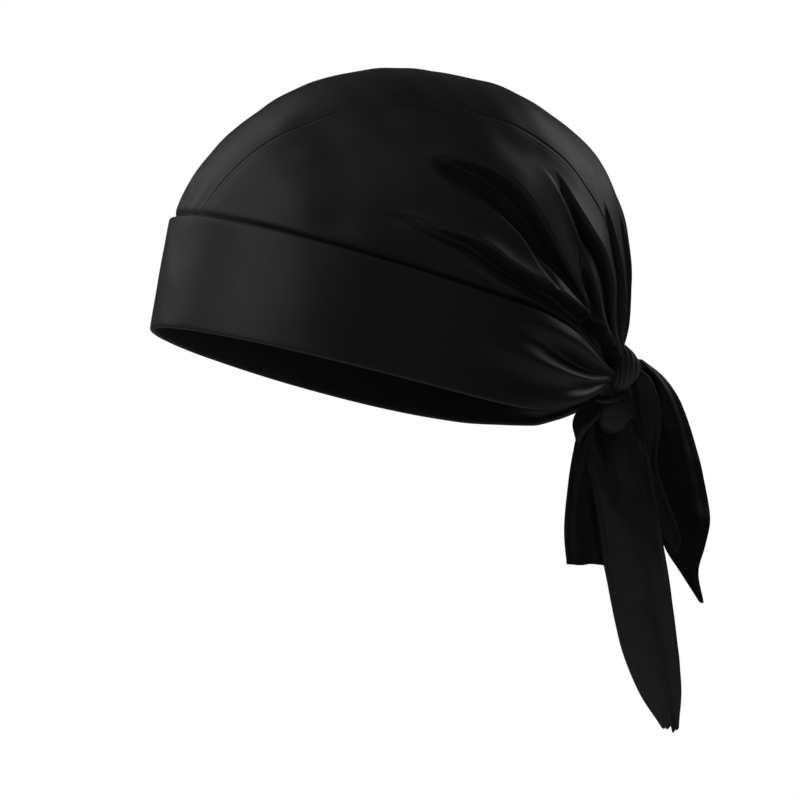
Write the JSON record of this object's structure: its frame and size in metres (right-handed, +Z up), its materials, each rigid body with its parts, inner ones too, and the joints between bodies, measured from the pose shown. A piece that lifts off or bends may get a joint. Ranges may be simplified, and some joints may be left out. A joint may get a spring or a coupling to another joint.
{
  "type": "durag",
  "caption": "Close-fitting satin head wrap with a folded brow band, a domed pleated crown and ties knotted at the nape, shown as worn.",
  "frame": {"origin": "middle of the rim's plane, where the cap sits on the head", "axes": "+Z up as worn, with the brow raised by 14.5 degrees; the brow faces -Y, the knot +Y and the wearer's left side +X"},
  "size_m": [0.1608, 0.2589, 0.2968],
  "materials": {
    "satin": "satin"
  },
  "bodies": {
    "root": {"crown_left_panel": "satin", "crown_center_panel": "satin", "crown_right_panel": "satin", "brow_band": "satin", "knot_upper_wrap": "satin", "knot_lower_wrap": "satin", "long_tail": "satin", "wide_tail": "satin", "wide_tail_inner_layer": "satin", "short_tail": "satin"}
  },
  "joints": []
}
